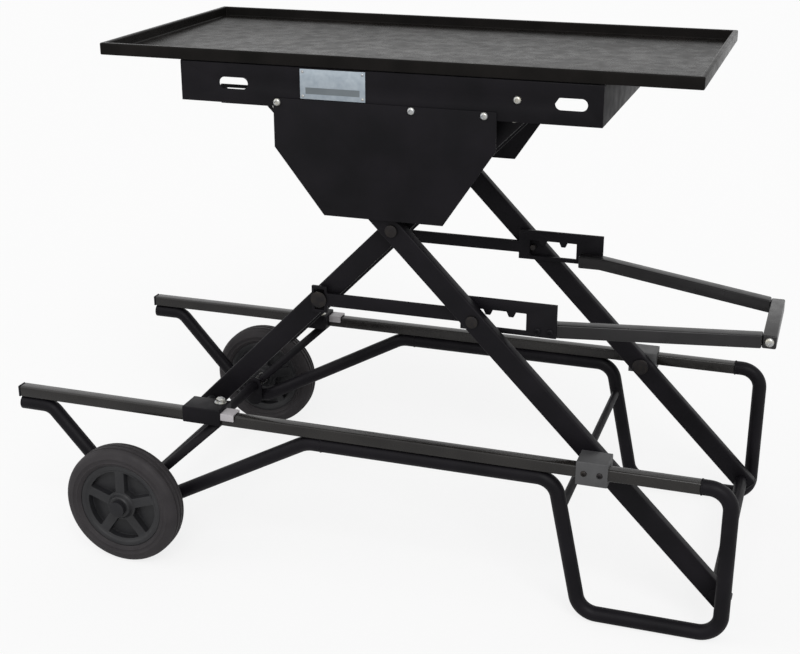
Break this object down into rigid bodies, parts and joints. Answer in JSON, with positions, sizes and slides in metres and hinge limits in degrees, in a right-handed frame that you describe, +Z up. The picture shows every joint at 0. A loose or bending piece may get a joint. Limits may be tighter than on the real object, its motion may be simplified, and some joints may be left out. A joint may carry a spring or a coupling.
{
  "type": "wheeled scissor lift stand",
  "caption": "Wheeled scissor-lift stand: a shallow tray on crossed legs over a tubular base with a wheel pair and foot loops, held by toothed lock plates on a handle.",
  "frame": {"origin": "on the floor, under the middle of the overall box", "axes": "+X to the handle end, away from the wheels; +Y to the stand's right as seen from the handle; +Z up"},
  "size_m": [1.2724, 0.6752, 0.8815],
  "materials": {
    "black_powder_coat": "fine-textured black powder coat",
    "satin_black_rail": "satin black coat",
    "tray_grey_black": "satin black coat, grey in the light",
    "zinc_plated_steel": "bright zinc plate",
    "blackened_steel": "chemically blackened steel",
    "tyre_rubber": "matt black rubber",
    "black_moulding": "moulded black plastic",
    "grey_nylon": "grey nylon",
    "silver_plate": "blank satin aluminium plate"
  },
  "bodies": {
    "base": {"rail_left": "satin_black_rail", "rail_right": "satin_black_rail", "rail_cap_left": "black_moulding", "rail_cap_right": "black_moulding", "wheel_strut_left": "black_powder_coat", "wheel_strut_right": "black_powder_coat", "foot_loop_left": "black_powder_coat", "foot_loop_right": "black_powder_coat", "axle_brace_left": "black_powder_coat", "axle_brace_right": "black_powder_coat", "axle_lug_left": "black_powder_coat", "axle_lug_right": "black_powder_coat", "wheel_axle": "zinc_plated_steel", "axle_cap_left": "black_moulding", "axle_cap_right": "black_moulding", "pivot_block_left": "black_powder_coat", "pivot_block_right": "black_powder_coat", "pivot_pin_left": "blackened_steel", "pivot_pin_right": "blackened_steel", "loop_bar": "black_powder_coat"},
    "wheel_left": {"tyre_left": "tyre_rubber", "wheel_rim_left": "black_moulding", "wheel_bush_left": "grey_nylon"},
    "wheel_right": {"tyre_right": "tyre_rubber", "wheel_rim_right": "black_moulding", "wheel_bush_right": "grey_nylon"},
    "outer_legs": {"outer_leg_left": "black_powder_coat", "outer_leg_right": "black_powder_coat", "foot_bar": "black_powder_coat", "slide_axle": "zinc_plated_steel", "scissor_pin_left": "blackened_steel", "scissor_pin_right": "blackened_steel", "lock_peg_left": "blackened_steel", "lock_peg_right": "blackened_steel"},
    "inner_legs": {"inner_leg_left": "black_powder_coat", "inner_leg_right": "black_powder_coat", "hinge_axle": "zinc_plated_steel", "lock_pivot_pin_left": "blackened_steel", "lock_pivot_pin_right": "blackened_steel"},
    "carriage": {"rail_shoe_left": "black_powder_coat", "rail_shoe_right": "black_powder_coat", "carriage_axle": "zinc_plated_steel"},
    "slides": {"slide_shoe_left": "grey_nylon", "slide_shoe_right": "grey_nylon"},
    "table": {"tray": "tray_grey_black", "subframe_side_left": "black_powder_coat", "subframe_side_right": "black_powder_coat", "subframe_end_front": "black_powder_coat", "bearer_left": "black_powder_coat", "bearer_right": "black_powder_coat", "guard_left": "black_powder_coat", "guard_right": "black_powder_coat", "data_plate": "silver_plate"},
    "lock_blocks": {"lock_block_left": "grey_nylon", "lock_block_right": "grey_nylon"},
    "lock": {"lock_plate_left": "black_powder_coat", "lock_plate_right": "black_powder_coat", "handle_arm_left": "black_powder_coat", "handle_arm_right": "black_powder_coat", "handle_bar": "black_powder_coat"}
  },
  "joints": [
    {"name": "wheel_left_spin", "type": "hinge", "parent": "base", "child": "wheel_left", "pos_m": [-0.41186, -0.3053, 0.106], "axis": [0, 1, 0], "continuous": true},
    {"name": "wheel_right_spin", "type": "hinge", "parent": "base", "child": "wheel_right", "pos_m": [-0.41186, 0.3053, 0.106], "axis": [0, 1, 0], "continuous": true},
    {"name": "fold", "type": "hinge", "parent": "base", "child": "outer_legs", "pos_m": [0.38814, 0, 0.266], "axis": [0, -1, 0], "range_deg": [0, 19.5]},
    {"name": "cross_turn", "type": "hinge", "parent": "outer_legs", "child": "inner_legs", "pos_m": [0.04679, 0, 0.61335], "axis": [0, -1, 0], "range_deg": [-39, 0]},
    {"name": "carriage_turn", "type": "hinge", "parent": "inner_legs", "child": "carriage", "pos_m": [-0.29455, 0, 0.266], "axis": [0, -1, 0], "range_deg": [0, 19.5]},
    {"name": "table_turn", "type": "hinge", "parent": "inner_legs", "child": "table", "pos_m": [0.23043, 0, 0.80022], "axis": [0, -1, 0], "range_deg": [0, 19.5]},
    {"name": "slide_turn", "type": "hinge", "parent": "outer_legs", "child": "slides", "pos_m": [-0.13684, 0, 0.80022], "axis": [0, -1, 0], "range_deg": [-19.5, 0]},
    {"name": "lock_block_turn", "type": "hinge", "parent": "inner_legs", "child": "lock_blocks", "pos_m": [-0.08638, 0, 0.47784], "axis": [0, -1, 0], "range_deg": [0, 19.5]},
    {"name": "lock_lift", "type": "slide", "parent": "lock_blocks", "child": "lock", "axis": [0, 0, 1], "range_m": [-0.0082, 0.009]}
  ],
  "couplings": [
    {"joint": "cross_turn", "follows": "fold", "ratio": -2},
    {"joint": "carriage_turn", "follows": "fold", "ratio": 1},
    {"joint": "table_turn", "follows": "fold", "ratio": 1},
    {"joint": "slide_turn", "follows": "fold", "ratio": -1},
    {"joint": "lock_block_turn", "follows": "fold", "ratio": 1}
  ]
}
